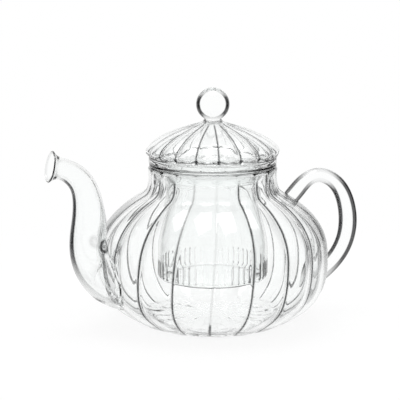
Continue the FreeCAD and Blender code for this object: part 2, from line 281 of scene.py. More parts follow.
def from_groove(angle, flutes):
    """Angle to the nearest groove of a fluted ring that has a crest at angle 0."""
    half = math.pi / flutes
    return np.abs((angle / (2 * half)) % 1 - 0.5) * 2 * half


def lobe(angle, flutes, depth, soft, wall=0.0):
    """Radius of a ring of equal arcs as a share of its outer crest: an arc about a centre between axis and
    crest, its radius less the wall for the inner skin. Near a groove the angle is taken as the root of the sum
    of squares with soft, which rounds it."""
    half = math.pi / flutes
    groove = from_groove(angle, flutes)
    rounded = np.sqrt(groove**2 + soft**2) * half / math.hypot(half, soft)
    turn = half - rounded
    rise = 1 - (1 - depth) * math.cos(half)
    run = (1 - depth) * math.sin(half)
    radius = (rise * rise + run * run) / (2 * rise)
    centre = 1 - radius
    return centre * np.cos(turn) + np.sqrt((radius - wall) ** 2 - (centre * np.sin(turn)) ** 2)


def pot_twist(height, amount):
    """Lean of the flutes at a height: none at the belly, about half the amount each way at foot and rim."""
    return amount * (height / POT_TOP - BELLY_SHARE) * 0.9


def pot_skin(angle, outline, shape, inner=False):
    """Radius of the pot's skin for angles and outline points: the outline's radius times the lobe's share,
    faded out under the base and at the rim."""
    radius, height = outline[..., 0], outline[..., 1]
    turned = angle - pot_twist(height, shape.twist)
    if inner:
        wall = np.minimum(shape.pot_wall / (radius + shape.pot_wall), 0.12)
        share = lobe(turned, shape.flutes, shape.pot_flute, soft=0.010, wall=wall) / (1 - wall)
    else:
        share = lobe(turned, shape.flutes, shape.pot_flute, soft=0.008)
        share = share - shape.crease * bell(from_groove(turned, shape.flutes), 0.016)
    fade = ease(radius, 0.30 * POT_RADIUS, 0.50 * POT_RADIUS)
    fade = fade * (1 - ease(height, 0.945 * POT_TOP, 0.985 * POT_TOP))
    return radius * (1 - fade * (1 - share))


def pot_outline():
    """The pot's outer outline in metres, from the edge of the base to the rim bead."""
    wall = smooth_through(POT_OUTLINE * (POT_RADIUS, POT_TOP), POT_ROWS)
    wall[:, 1] = np.maximum(wall[:, 1], 0)
    return wall


def outside_pot(points, shape):
    """How far points lie outside the pot's outer skin, measured from the axis."""
    flat_rows = 8
    wall = pot_outline()[flat_rows:]
    height = np.clip(points[..., 2], 0.1 * MM, 0.97 * POT_TOP)
    crest = np.interp(height, wall[:, 1], wall[:, 0])
    angle = np.arctan2(points[..., 1], points[..., 0])
    skin = pot_skin(angle, np.stack([crest, height], axis=-1), shape)
    return np.hypot(points[..., 0], points[..., 1]) - skin


def tube_frame(line, count):
    """Points, radii and side vectors along a tube in the XZ plane, from a cubic curve through its stations."""
    path = smooth_through(line * MM, count)
    step = unit(np.gradient(path[:, :2], axis=0))
    side = np.stack([step[:, 1], -step[:, 0]], axis=1)
    return path[:, :2], path[:, 2], side


def tube_points(middle, side, radius, angle, spread=0.0):
    """Rings about a tube's middle: cosine along its side vector, sine along Y, where spread widens them."""
    reach = radius * np.cos(angle)
    x = middle[:, None, 0] + reach * side[:, None, 0]
    z = middle[:, None, 1] + reach * side[:, None, 1]
    return np.stack(np.broadcast_arrays(x, (radius + spread) * np.sin(angle), z), axis=-1)


def seated(points, shape, rows):
    """Re-reads each line along a tube from where it leaves the pot's skin, at rows even steps to its end."""
    clear = outside_pot(points, shape) - WELD_GAP
    count = len(points)
    inside = np.where(clear < 0, np.arange(count)[:, None], -1)
    inside[count // 2:] = -1
    below = np.clip(inside.max(axis=0), 0, count - 2)
    lines = np.arange(points.shape[1])
    a, b = clear[below, lines], clear[below + 1, lines]
    start = below + np.clip(-a / np.where(b - a == 0, 1, b - a), 0, 1)
    share = np.linspace(0, 1, rows)[:, None]
    at = start + (count - 1 - start) * share
    k = np.clip(at.astype(int), 0, count - 2)
    w = (at - k)[..., None]
    return points[k, lines] * (1 - w) + points[k + 1, lines] * w


def quads_of(rows, columns, ring=False):
    """Corners of every cell of a grid whose columns, and in a ring its rows, close on themselves."""
    below = np.arange(rows if ring else rows - 1)[:, None]
    low, high = below * columns, (below + 1) % rows * columns
    here = np.arange(columns)
    after = np.roll(here, -1)
    return np.stack([low + here, low + after, high + after, high + here], axis=-1).reshape(-1, 4)


def fan_of(pole, row, columns, flip):
    """Triangles from a pole to the row next to it."""
    here = row * columns + np.arange(columns)
    after = np.roll(here, -1)
    pair = (after, here) if flip else (here, after)
    return np.stack([np.full(columns, pole), *pair], axis=-1)


def grid_points(radius, height, angle):
    """Points of a turned grid: radius and height for each row, and angle for each column."""
    return np.stack(np.broadcast_arrays(radius * np.cos(angle), radius * np.sin(angle), height), axis=-1)


def turned_piece(name, points, low=None, high=None, ring=False, cells=None):
    """A smooth mesh of rows of points at the origin, closed by poles at low and high or as a ring of rows. Its
    faces are all cells of the grid, unless some are given."""
    rows, columns = points.shape[:2]
    vertices = points.reshape(-1, 3)
    faces = cells or quads_of(rows, columns, ring).tolist()
    for pole, row, flip in ((low, 0, True), (high, rows - 1, False)):
        if pole is not None:
            faces += fan_of(len(vertices), row, columns, flip).tolist()
            vertices = np.vstack([vertices, pole])
    if not np.isfinite(vertices).all():
        raise ValueError(f"{name} has a vertex that is not a number")
    mesh = bpy.data.meshes.new(name)
    mesh.from_pydata(vertices.tolist(), [], faces, shade_flat=False)
    mesh.validate()
    mesh.update()
    piece = bpy.data.objects.new(name, mesh)
    bpy.context.scene.collection.objects.link(piece)
    return piece


def places(piece):
    """Vertex places of a piece as an array."""
    place = np.empty(len(piece.data.vertices) * 3)
    piece.data.vertices.foreach_get("co", place)
    return place.reshape(-1, 3)


def polar(piece):
    """Distance from the axis, angle round it and height of each vertex of a piece."""
    x, y, z = places(piece).T
    return np.hypot(x, y), np.arctan2(y, x), z


def outward(piece):
    """Turns the faces of a closed piece outwards, by the sign of its volume."""
    mesh = piece.data
    mesh.calc_loop_triangles()
    corners = np.empty(len(mesh.loop_triangles) * 3, np.int32)
    mesh.loop_triangles.foreach_get("vertices", corners)
    a, b, c = np.moveaxis(places(piece)[corners.reshape(-1, 3)], 1, 0)
    if np.einsum("ij,ij->i", a, np.cross(b, c)).sum() < 0:
        mesh.flip_normals()


def cut_away(piece, cutter):
    """Cuts a closed cutter out of a piece for good, and removes the cutter."""
    cut = piece.modifiers.new("pour_hole", "BOOLEAN")
    cut.operation = "DIFFERENCE"
    cut.solver = "EXACT"
    cut.object = cutter
    bpy.context.view_layer.update()
    made = piece.evaluated_get(bpy.context.evaluated_depsgraph_get())
    mesh = bpy.data.meshes.new_from_object(made)
    piece.modifiers.clear()
    old, piece.data = piece.data, mesh
    bpy.data.meshes.remove(old)
    bpy.data.meshes.remove(cutter.data)
    piece.data.name = piece.name


def finish_piece(piece, body, node, slot, material, sharp=40, crease=0.0, edge=1.0, form=(0.0, 0.0, 1.0)):
    """Gives a piece its finish, parents it to the empty of the body it rides on and hides the part of the frame it
    stands for. Each vertex keeps how strongly painted shade darkens it in creases and seams, how strongly painted
    shade darkens edges as they turn away, and the way the form faces without its creases."""
    outward(piece)
    count = len(piece.data.vertices)
    for name, value in (("crease", crease), ("edge", edge)):
        layer = piece.data.attributes.new(name, "FLOAT", "POINT")
        layer.data.foreach_set("value", np.broadcast_to(value, count).astype(np.float32))
    layer = piece.data.attributes.new("form", "FLOAT_VECTOR", "POINT")
    layer.data.foreach_set("vector", np.broadcast_to(form, (count, 3)).astype(np.float32).ravel())
    piece.data.set_sharp_from_angle(angle=math.radians(sharp))
    piece.data.materials.append(material)
    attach(piece, body)
    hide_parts(node)


def feed(tree, socket, source):
    """Links an input to another node's output, or sets it to a plain number or colour."""
    if isinstance(source, bpy.types.NodeSocket):
        tree.links.new(source, socket)
    else:
        socket.default_value = source


def add_node(tree, kind, *sources, **given):
    """Adds a shader node, sets its own values (small letters) and feeds its inputs, by name or in order."""
    node = tree.nodes.new(kind)
    for name, value in given.items():
        if name.islower():
            setattr(node, name, value)
        else:
            feed(tree, node.inputs[name.replace("_", " ")], value)
    for socket, source in zip(node.inputs, sources):
        feed(tree, socket, source)
    return node


def maths(tree, operation, first, second):
    """Output of a maths node of one kind."""
    return add_node(tree, "ShaderNodeMath", first, second, operation=operation).outputs["Value"]


def fire_polish_group():
    """Shared effect of fire-polished glass: a bump normal of soft waves, and a faint breath of haze."""
    name = "fire_polish"
    if name in bpy.data.node_groups:
        return bpy.data.node_groups[name]
    tree = bpy.data.node_groups.new(name, "ShaderNodeTree")
    for socket in ("Scale", "Height", "Haze"):
        tree.interface.new_socket(socket, in_out="INPUT", socket_type="NodeSocketFloat")
    tree.interface.new_socket("Roughness", in_out="OUTPUT", socket_type="NodeSocketFloat")
    tree.interface.new_socket("Normal", in_out="OUTPUT", socket_type="NodeSocketVector")
    given = tree.nodes.new("NodeGroupInput").outputs
    place = tree.nodes.new("ShaderNodeTexCoord").outputs["Object"]
    waves = add_node(tree, "ShaderNodeTexNoise", Vector=place, Scale=given["Scale"], Detail=2.0, Roughness=0.45)
    breath = add_node(tree, "ShaderNodeTexNoise", Vector=place, Scale=38.0, Detail=4.0, Roughness=0.6)
    mask = add_node(tree, "ShaderNodeMapRange", Value=breath.outputs["Fac"], From_Min=0.5, From_Max=0.8)
    bump = add_node(tree, "ShaderNodeBump", Strength=1.0, Height=waves.outputs["Fac"], Distance=given["Height"])
    haze = maths(tree, "MULTIPLY", mask.outputs["Result"], given["Haze"])
    add_node(tree, "NodeGroupOutput", Roughness=haze, Normal=bump.outputs["Normal"])
    return tree


def glass_material(name, edge, crease=(0.0, 0.05), by_form=("crease",), waves=55, haze=0.02):
    """Clear glass: a Principled shader with full transmission, waves and haze from the shared group, and a colour
    painted towards a near-black shade between the two values of edge where marked edges turn away from the eye, and
    between those of crease in the near side's creases; this painted shade stands in for the dark cards seen through
    the glass. Marks named in by_form go by the form without its flutes."""
    settings = bpy.context.scene.teapot_glass
    material = bpy.data.materials.new(name)
    material.use_nodes = True
    tree = material.node_tree
    shader = tree.nodes["Principled BSDF"]
    shader.inputs["Metallic"].default_value = 0
    shader.inputs["Transmission Weight"].default_value = 1
    shader.inputs["IOR"].default_value = settings.ior
    marks = {mark: add_node(tree, "ShaderNodeAttribute", attribute_name=mark) for mark in ("crease", "edge", "form")}
    painted_shade_share = {}
    for mark, (low, high) in (("edge", edge), ("crease", crease)):
        facing = tree.nodes.new("ShaderNodeLayerWeight")
        if mark in by_form:
            feed(tree, facing.inputs["Normal"], marks["form"].outputs["Vector"])
        turned = add_node(
            tree, "ShaderNodeMapRange", interpolation_type="SMOOTHSTEP", Value=facing.outputs["Facing"],
            From_Min=low, From_Max=high)
        painted_shade_share[mark] = maths(tree, "MULTIPLY", turned.outputs["Result"], marks[mark].outputs["Fac"])
    side = tree.nodes.new("ShaderNodeNewGeometry")
    near = maths(tree, "SUBTRACT", 1.0, side.outputs["Backfacing"])
    near_crease_shade = maths(tree, "MULTIPLY", painted_shade_share["crease"], near)
    # Painted shade: the glass tint mixed towards the near-black where marked edges turn away and in the near side's
    # creases
    colour = add_node(
        tree, "ShaderNodeMix", data_type="RGBA", A=(*settings.tint, 1), B=(*settings.painted_shade_tint, 1),
        Factor=maths(tree, "MAXIMUM", painted_shade_share["edge"], near_crease_shade))
    feed(tree, shader.inputs["Base Color"], colour.outputs["Result"])
    polish = add_node(
        tree, "ShaderNodeGroup", node_tree=fire_polish_group(), Scale=waves, Height=settings.ripple, Haze=haze)
    for socket in ("Roughness", "Normal"):
        feed(tree, shader.inputs[socket], polish.outputs[socket])
    return material


class TEAPOT_OT_pot_body(bpy.types.Operator):
    """Blow the fluted pot: outer skin, rim bead and inner skin as one closed wall with a pour hole"""

    bl_idname = "teapot.pot_body"
    bl_label = "Pot Body"

    def execute(self, context):
        shape = context.scene.teapot_shape
        piece = self.wall(shape)
        self.pour_hole(piece, shape)
        glass = glass_material("pot_clear_glass", edge=(0.6, 1.0), crease=(-0.02, 0.16), by_form=("crease", "edge"))
        finish_piece(piece, "pot", "pot_body", "pot_glass", glass, **self.marks(piece, shape))
        return {"FINISHED"}

    def wall(self, shape):
        """The outline turned with its lobes: base, outer skin, bead, inner skin and floor. A parabola raises base
        and floor, and a cosine of the flutes presses the petals."""
        angle = flute_angles(shape.flutes, 13)
        outer = pot_outline()
        base = spokes(0.04, 0.97, FLOOR_ROWS, outer[0, 0], 0)
        bead = arc((BEAD_RING, outer[-1, 1]), BEAD_RADIUS, 0, 180, 13)[1:-1]
        inner = inset(outer[INNER_ROWS], shape.pot_wall)[::-1]
        inner = inner[inner[:, 1] > FLOOR_LOW]
        floor = spokes(0.95, 0.05, FLOOR_ROWS, *inner[-1])
        for flat in (base, floor):
            flat[:, 1] += PUNT_DEPTH * (1 - (flat[:, 0] / PUNT_RADIUS) ** 2).clip(0)
        outside = np.concatenate([base, outer, bead])
        inside = np.concatenate([inner, floor])
        rows = [pot_skin(angle, line[:, None, :], shape, is_inner)
                for line, is_inner in ((outside, False), (inside, True))]
        height = np.concatenate([outside, inside])[:, 1:]
        petals = np.zeros_like(height)
        swing = np.sin(np.linspace(0.6, math.pi, FLOOR_ROWS))
        petals[-FLOOR_ROWS:, 0] = PETAL_DEPTH * swing * np.linspace(1, 0, FLOOR_ROWS)
        height = height + petals * np.cos(shape.flutes * angle)
        points = grid_points(np.concatenate(rows), height, angle)
        poles = (0, 0, PUNT_DEPTH), (0, 0, inner[-1, 1] + PUNT_DEPTH)
        return turned_piece("pot_body_glass", points, *poles)

    def pour_hole(self, piece, shape):
        """Cuts the first rings of the spout's bore out of the wall."""
        steps, rings = 60, 26
        middle, radius, side = tube_frame(SPOUT_LINE, steps)
        bore = tube_points(middle, side, (radius - shape.spout_wall)[:, None], full_turn(64))[:rings]
        cutter = turned_piece("pour_hole", bore, bore[0].mean(axis=0), bore[-1].mean(axis=0))
        outward(piece)
        outward(cutter)
        cut_away(piece, cutter)

    def marks(self, piece, shape):
        """Painted shade in the grooves, round the foot and on the bead; painted shade on edges that turn away, weaker
        at foot, neck and spout root; and a form that faces out, up at the bead and down at the foot."""
        place = places(piece)
        reach, turned, height = polar(piece)
        out, up = reach / POT_RADIUS, height / POT_TOP
        from_root = np.hypot(place[:, 1] / ROOT_WIDENING, height - ROOT_HEIGHT)
        from_root[place[:, 0] > 0] = math.inf
        groove = from_groove(turned - pot_twist(height, shape.twist), shape.flutes) * reach
        line = bell(groove, 0.6 * MM) * ease(out, 0.25, 0.5) * (1 - ease(up, 0.93, 0.97))
        line *= outside_pot(place, shape) > -shape.pot_wall / 2
        line *= (1 - 0.2 * ease(up, 0.8, 0.9)) * ease(from_root, 12 * MM, 16 * MM)
        foot = bell(height - 0.7 * MM, 0.6 * MM) * ease(out, 0.5, 0.53)
        bead = ease(up, 0.972, 0.985)
        tilt = FACE_UP * bead - 1.2 * (1 - ease(up, 0.02, 0.16))
        form = unit(np.column_stack([place[:, :2] / reach.clip(1e-6)[:, None], tilt]))
        edge = np.where(up < 0.16, ease(out, 0.54, 0.7), 1) * (1 - 0.8 * ease(up, 0.75, 0.88))
        edge *= 0.15 + 0.85 * ease(from_root, 16 * MM, 25 * MM)
        crease = np.maximum.reduce([2 * line, 2 * foot, 0.3 * bead])
        return {"crease": crease, "edge": 0.7 * edge, "form": form}


class TEAPOT_OT_spout(bpy.types.Operator):
    """Draw the spout: a tapering hollow tube along an S-curve, with a rolled lip, seated on the flutes"""

    bl_idname = "teapot.spout"
    bl_label = "Spout"

    def execute(self, context):
        shape = context.scene.teapot_shape
        turn = full_turn(96)
        outer, lip, inner = self.skins(shape, turn)
        piece = turned_piece("spout_glass", np.concatenate([outer, lip, inner[::-1]]), ring=True)
        marks = self.marks(piece, shape, turn, len(outer), len(lip))
        glass = glass_material("spout_clear_glass", edge=(0.33, 0.41))
        finish_piece(piece, "pot", "spout", "pot_glass", glass, **marks)
        return {"FINISHED"}

    def skins(self, shape, turn):
        """Rings of the outer skin, rounded lip and inner skin. An exponential widens the tube towards its root,
        the wall thins towards the mouth, and a bell swells the outer skin at the weld's knots."""
        middle, radius, side = tube_frame(SPOUT_LINE, SPOUT_STEPS)
        wall = shape.spout_wall * (1 - 0.25 * np.linspace(0, 1, SPOUT_STEPS))
        along = np.r_[0, np.cumsum(np.linalg.norm(np.diff(middle, axis=0), axis=1))]
        flare = shape.root_flare * np.exp(-(along - 11 * MM).clip(0) / (5 * MM))
        radius = radius + 0.15 * flare
        outer, inner = [
            seated(tube_points(middle, side, r[:, None], turn, flare[:, None]), shape, SPOUT_STEPS // 2)
            for r in (radius, radius - wall)]
        swell = unit(outer - outer.mean(axis=1, keepdims=True))
        outer = outer + swell * 0.8 * MM * bell(self.from_weld(outer), 2.2 * MM)[..., None]
        ahead = middle[-1] - middle[-2]
        ahead = np.array([ahead[0], 0, ahead[1]]) / np.linalg.norm(ahead)
        round_lip = np.linspace(0, math.pi, 9)[1:-1, None, None]
        half = (outer[-1] - inner[-1])[None] / 2
        centre = (outer[-1] + inner[-1])[None] / 2
        lip = centre + half * np.cos(round_lip) + np.sin(round_lip) * wall[-1] / 2 * ahead
        return outer, lip, inner

    def marks(self, piece, shape, turn, outer_rows, lip_rows):
        """Painted shade along the seam, round the weld's knots and on the lip, and on edges that turn away, strongest
        on the outer bend.
        """
        place = places(piece)
        away = outside_pot(place, shape)
        skin = outer_rows * turn.size
        seam = 0.3 * bell(away, 0.5 * MM)
        weld = 1.2 * bell(self.from_weld(place) - 3.1 * MM, 1.2 * MM)
        weld[skin:] *= 0.35
        lip = np.zeros((len(place) // turn.size, turn.size))
        lip[outer_rows - 1:outer_rows + lip_rows + 1] = 0.25
        bend = 0.2 + 0.8 * ease(-np.tile(np.cos(turn[0]), len(lip)), -0.3, 0.3)
        bend[skin:] *= 0.1
        mouth = ease(-place[:, 0], 89 * MM, 94 * MM)
        edge = (1 - 0.7 * mouth) * bend * ease(away, 0, 4 * MM)
        edge *= 0.35 + 0.65 * ease(place[:, 2], 22 * MM, 46 * MM)
        return {"crease": np.maximum.reduce([seam, weld, lip.ravel()]), "edge": edge}

    def from_weld(self, points):
        """Distance to the knot of glass that the weld leaves on each side."""
        mirrored = np.stack([points[..., 0], np.abs(points[..., 1]), points[..., 2]], axis=-1)
        return np.linalg.norm(mirrored - WELD_KNOT, axis=-1)


class TEAPOT_OT_handle(bpy.types.Operator):
    """Bend the handle: a solid rod along a loop, seated on the flutes at shoulder and belly"""

    bl_idname = "teapot.handle"
    bl_label = "Handle"

    def execute(self, context):
        shape = context.scene.teapot_shape
        turn = full_turn(72)
        middle, radius, side = tube_frame(HANDLE_LINE, 2 * HANDLE_HALF)
        rings = []
        for share in (1.0, 0.8, 0.55, 0.28, 0.001):
            rod = tube_points(middle, side, radius[:, None] * share, turn)
            upper = seated(rod[:HANDLE_HALF], shape, HANDLE_HALF // 2)
            lower = seated(rod[:HANDLE_HALF - 1:-1], shape, HANDLE_HALF // 2)[::-1]
            rings.append((upper, lower))
        skin, *caps, core = rings
        start = np.stack([upper[0] for upper, _ in caps[::-1]])
        end = np.stack([lower[-1] for _, lower in caps])
        poles = core[0][0].mean(axis=0), core[1][-1].mean(axis=0)
        piece = turned_piece("handle_glass", np.concatenate([start, *skin, end]), *poles)
        every = 4
        apart = places(piece)[:, None, [0, 2]] - middle[None, ::every]
        nearest = np.linalg.norm(apart, axis=2).argmin(axis=1) * every
        # Painted shade on the handle's edges, strongest where the rod runs up and down
        edge = 0.2 + 0.8 * ease(np.abs(side[nearest, 0]), 0.3, 0.8)
        glass = glass_material("handle_clear_glass", edge=(0.13, 0.21))
        finish_piece(piece, "pot", "handle", "pot_glass", glass, 60, edge=edge)
        return {"FINISHED"}


class TEAPOT_OT_infuser(bpy.types.Operator):
    """Turn the infuser: a flanged cup with a waist, and a ring of round-ended slits through its wall"""

    bl_idname = "teapot.infuser"
    bl_label = "Infuser"

    def execute(self, context):
        shape = context.scene.teapot_shape
        pitch = 2 * math.pi / shape.slits
        half = shape.slit_width / 2 / INFUSER_BELLY
        line, first_out, last_in = self.outline()
        angle = self.columns(line[:, 1], shape.slits, pitch, half)
        cells = self.cells(*angle.shape, shape.slits, first_out, last_in)
        poles = (0, 0, INFUSER_LOW), (0, 0, INFUSER_LOW + INFUSER_WALL)
        points = grid_points(line[:, :1], line[:, 1:], angle)
        piece = turned_piece("infuser_glass", points, *poles, cells=cells)
        glass = glass_material("infuser_clear_glass", edge=(0.6, 1.0), crease=(0.05, 0.14), waves=70, haze=0.03)
        finish_piece(piece, "infuser", "infuser", "infuser_glass", glass, **self.marks(piece, pitch, half))
        return {"FINISHED"}

    def outline(self):
        """Outline up the outside, round the flange and down the inside, with the first outer and last inner row at
        the slits. An ease leads from belly to waist; a circle rounds the lower corner."""
        low, top, wall, corner = INFUSER_LOW, INFUSER_TOP, INFUSER_WALL, INFUSER_CORNER
        belly, waist = INFUSER_BELLY, INFUSER_WAIST
        stops = SLIT_LOW, SLIT_HIGH, low + 19 * MM, low + 45 * MM, top - 3.6 * MM
        spans = zip(stops, stops[1:], (SLIT_ROWS, 6, 21, 11))
        height = np.concatenate([[SLIT_LOW], *(np.linspace(a, b, n + 1)[1:] for a, b, n in spans)])
        width = belly - (belly - waist) * ease(height, low + 18 * MM, low + 46 * MM)
        skins = []
        for depth, most in ((0, 1), (wall, 0.999)):
            bend = corner - depth
            dip = np.clip((low + corner - height) / bend, 0, most)
            skins.append(np.stack([width - depth - bend * (1 - np.sqrt(1 - dip**2)), height], axis=1))
        outer, inner = skins
        heel = arc((belly - corner, low + corner), corner, -90, -27, 8)
        heel = heel[heel[:, 1] < SLIT_LOW - 0.1 * MM]
        foot = spokes(0.06, 0.97, 9, heel[0, 0], low)
        round_out, round_edge = 2 * MM, 0.75 * MM
        fillet = arc((waist + round_out, top - 3.5 * MM), round_out, 180, 90, 7)
        edge = arc((FLANGE_RADIUS - round_edge, top - round_edge), round_edge, -90, 90, 9)
        mouth = arc((waist - wall + round_out, top - round_out), round_out, 90, 180, 7)
        floor = spokes(0.97, 0.06, 9, inner[0, 0], low + wall)
        line = np.concatenate([foot, heel, outer, fillet, edge, mouth, inner[::-1], floor])
        return line, len(foot) + len(heel), len(line) - len(floor) - 1

    def columns(self, height, slits, pitch, half):
        """Angles of each row: two columns are the sides of a slit, narrowed towards its ends by the root of one
        less an eighth power, and the others share out the glass up to the next."""
        middle, reach = (SLIT_LOW + SLIT_HIGH) / 2, (SLIT_HIGH - SLIT_LOW) / 2
        from_middle = np.clip(np.abs(height - middle) / reach, 0, 1)
        beside = (height >= SLIT_LOW - 1e-9) & (height <= SLIT_HIGH + 1e-9)
        narrow = np.where(beside, np.maximum(np.sqrt(1 - from_middle**8), 0.35), 1.0)[:, None]
        web = np.linspace(half * 1.4, pitch - half * 1.4, SLIT_COLUMNS - 2)
        one = np.concatenate([half * narrow * (-1, 1), np.tile(web, (len(height), 1))], axis=1)
        return (one[:, None, :] + pitch * np.arange(slits)[None, :, None]).reshape(len(height), -1)

    def cells(self, rows, columns, slits, first_out, last_in):
        """Cells of the grid less those over a slit, and the four walls of each slit from skin to skin."""
        quads = quads_of(rows, columns)
        row, column = np.divmod(np.arange(len(quads)), columns)
        over = (row >= first_out) & (row < first_out + SLIT_ROWS)
        over |= (row < last_in) & (row >= last_in - SLIT_ROWS)
        faces = quads[~((column % SLIT_COLUMNS == 0) & over)].tolist()
        step = np.arange(SLIT_ROWS + 1)[:, None]
        out, back = (first_out + step) * columns, (last_in - step) * columns
        start = np.arange(slits) * SLIT_COLUMNS
        end = start + 1
        for wall in (
            (out[:-1] + start, out[1:] + start, back[1:] + start, back[:-1] + start),
            (back[:-1] + end, back[1:] + end, out[1:] + end, out[:-1] + end),
            (back[:1] + start, back[:1] + end, out[:1] + end, out[:1] + start),
            (out[-1:] + start, out[-1:] + end, back[-1:] + end, back[-1:] + start),
        ):
            faces += np.stack(wall, axis=-1).reshape(-1, 4).tolist()
        return faces

    def marks(self, piece, pitch, half):
        """Painted shade in the slits, at the heel and under the flange; painted shade on edges that turn away, between
        the two; and a form that faces out, or up at the flange."""
        low, top = INFUSER_LOW, INFUSER_TOP
        reach, turned, height = polar(piece)
        from_slit = np.abs((turned / pitch + 0.5) % 1 - 0.5) * pitch
        cut = (from_slit < half * 1.05) & (height > SLIT_LOW - 0.1 * MM) & (height < SLIT_HIGH + 0.1 * MM)
        heel = (reach > INFUSER_BELLY - 3.0 * MM) & (height < low + 1.6 * MM)
        flange = ease(reach, FLANGE_RADIUS - 1.2 * MM, FLANGE_RADIUS - 0.4 * MM)
        under = 0.8 * flange * bell(height - top + 1.5 * MM, 0.4 * MM)
        form = unit(np.stack([np.cos(turned), np.sin(turned), FACE_UP * flange], axis=1))
        edge = ease(height, low + 2 * MM, low + 4 * MM) * (1 - ease(height, top - 5 * MM, top - 3 * MM))
        return {"crease": np.maximum.reduce([1.5 * cut, heel, under]), "edge": 0.6 * edge, "form": form}


class TEAPOT_OT_lid(bpy.types.Operator):
    """Make the lid: collar with its skirt, fluted dome and ball knob"""

    bl_idname = "teapot.lid"
    bl_label = "Lid"

    def execute(self, context):
        shape = context.scene.teapot_shape
        glass = glass_material("lid_clear_glass", edge=(0.60, 0.95), waves=62)
        self.collar(glass)
        self.dome(shape, glass)
        self.knob(glass_material("knob_clear_glass", edge=(0.32, 0.39), waves=62))
        return {"FINISHED"}

    def collar(self, glass):
        """A turned ring: rounded band, web and skirt, from arcs at their corners."""
        seat = COLLAR_TOP - 4.0 * MM
        web = seat + 2 * MM
        skirt, bore, hem = 26.9 * MM, 25.1 * MM, 0.9 * MM
        band, inside = COLLAR_RADIUS, COLLAR_RADIUS - 3.2 * MM
        soft = 0.6 * MM
        line = np.concatenate([
            arc((skirt + soft, seat - soft), soft, 180, 90, 5),
            arc((band - soft, seat + soft), soft, -90, 0, 6),
            arc((band - soft, COLLAR_TOP - soft), soft, 0, 90, 6),
            arc((inside + soft, COLLAR_TOP - soft), soft, 90, 180, 6),
            arc((inside - soft, web + soft), soft, 0, -90, 5),
            arc((bore + soft, web - soft), soft, 90, 180, 5),
            arc((bore + hem, SKIRT_LOW + hem), hem, 180, 360, 13),
        ])
        points = grid_points(line[:, :1], line[:, 1:], full_turn(240))
        piece = turned_piece("lid_collar_glass", points, ring=True)
        reach, _, height = polar(piece)
        # Painted shade: a dark line round the outside of the band just over the seat, and a faint one on edges that
        # turn away
        crease = 1.5 * (reach > band - 1.3 * MM) * bell(height - seat - 0.15 * MM, 0.28 * MM)
        finish_piece(piece, "lid", "lid_collar", "lid_glass", glass, crease=crease, edge=0.1)

    def dome(self, shape, glass):
        """A fluted dome: outer skin, closed top, and an inner skin held at the wall's thickness. Painted shade lies in
        its grooves and along a scalloped line over the collar."""
        outline = DOME_OUTLINE * (DOME_RADIUS, DOME_TOP - COLLAR_TOP - WELD_GAP) + (0, COLLAR_TOP + WELD_GAP)
        outer = smooth_through(outline, 110)
        inner = inset(outer[::2], shape.lid_wall)[::-1]
        inner = inner[(inner[:, 1] > COLLAR_TOP + 0.5 * MM) & (inner[:, 0] > 6.0 * MM)]
        vault = spokes(0.1, 0.9, 6, *inner[0])
        cap = spokes(0.85, 0.1, 5, *outer[-1])
        lip = arc((0, COLLAR_TOP + 0.9 * MM), 0.85 * MM, 180, 360, 7)[1:-1]
        lip[:, 0] = np.linspace(inner[-1, 0], outer[0, 0], 7)[1:-1]
        lip[:, 1] = np.maximum(lip[:, 1], COLLAR_TOP + WELD_GAP)
        line = np.concatenate([vault, inner, lip, outer, cap])
        angle = flute_angles(shape.flutes, 11)
        radius = line[:, :1]
        outside = lobe(angle, shape.flutes, shape.lid_flute, soft=0.006)
        outside = outside - shape.crease * bell(from_groove(angle, shape.flutes), 0.02)
        wall = np.minimum(shape.lid_wall / (radius + shape.lid_wall), 0.07)
        inside = lobe(angle, shape.flutes, shape.lid_flute, soft=0.02, wall=wall) / (1 - wall)
        first_out = len(vault) + len(inner) + 3
        is_outer = (np.arange(len(line)) >= first_out)[:, None]
        fade = ease(radius, 5.0 * MM, 11.0 * MM)
        radius = radius * (1 - fade * (1 - np.where(is_outer, outside, inside)))
        points = grid_points(radius, line[:, 1:], angle + shape.lid_turn)
        piece = turned_piece("lid_dome_glass", points, (0, 0, line[0, 1]), (0, 0, line[-1, 1]))
        reach, turned, height = polar(piece)
        groove = from_groove(turned - shape.lid_turn, shape.flutes) * reach
        scallop = COLLAR_TOP + 0.9 * MM + 1.7 * MM * bell(groove, 1.7 * MM)
        crease = np.maximum.reduce([
            0.85 * bell(groove, 0.5 * MM) * ease(reach, 6 * MM, 11 * MM),
            0.7 * bell(height - scallop, 0.4 * MM),
            bell(groove, 1.1 * MM) * (height < scallop),
        ])
        crease[:first_out * angle.size] = 0
        # Painted shade on edges that turn away, from a little over the collar upwards
        edge = 0.3 * ease(height, COLLAR_TOP + 2 * MM, COLLAR_TOP + 6 * MM)
        finish_piece(piece, "lid", "lid_dome", "lid_glass", glass, crease=1.4 * crease, edge=edge)

    def knob(self, glass):
        """A solid ball on a short flared foot: an arc that a smooth curve leads down to the foot."""
        low = DOME_TOP + WELD_GAP
        centre = KNOB_TOP - KNOB_RADIUS
        foot, waist = 5.7 * MM, 5.0 * MM
        neck = -math.degrees(math.acos(waist / KNOB_RADIUS))
        ball = arc((0, centre), KNOB_RADIUS, neck, 88, 60)
        flare = smooth_through([(foot, low + 0.3 * MM), (waist + 0.1 * MM, low + 1.1 * MM), tuple(ball[0])], 9)
        line = np.concatenate([spokes(0.1, 0.97, 6, foot, low), flare[:-1], ball])
        points = grid_points(line[:, :1], line[:, 1:], full_turn(96))
        piece = turned_piece("lid_knob_glass", points, (0, 0, low), (0, 0, KNOB_TOP))
        reach, _, height = polar(piece)
        # Painted shade on the ball's edges, weaker towards top and bottom, and a painted dark ring round its foot
        edge = 1 - 0.85 * ease(np.abs(height - centre) / KNOB_RADIUS, 0.45, 0.9)
        ring = bell(height - low, 0.5 * MM) * (reach > 0.8 * foot)
        finish_piece(piece, "lid", "lid_knob", "lid_glass", glass, 50, edge=edge, crease=ring)


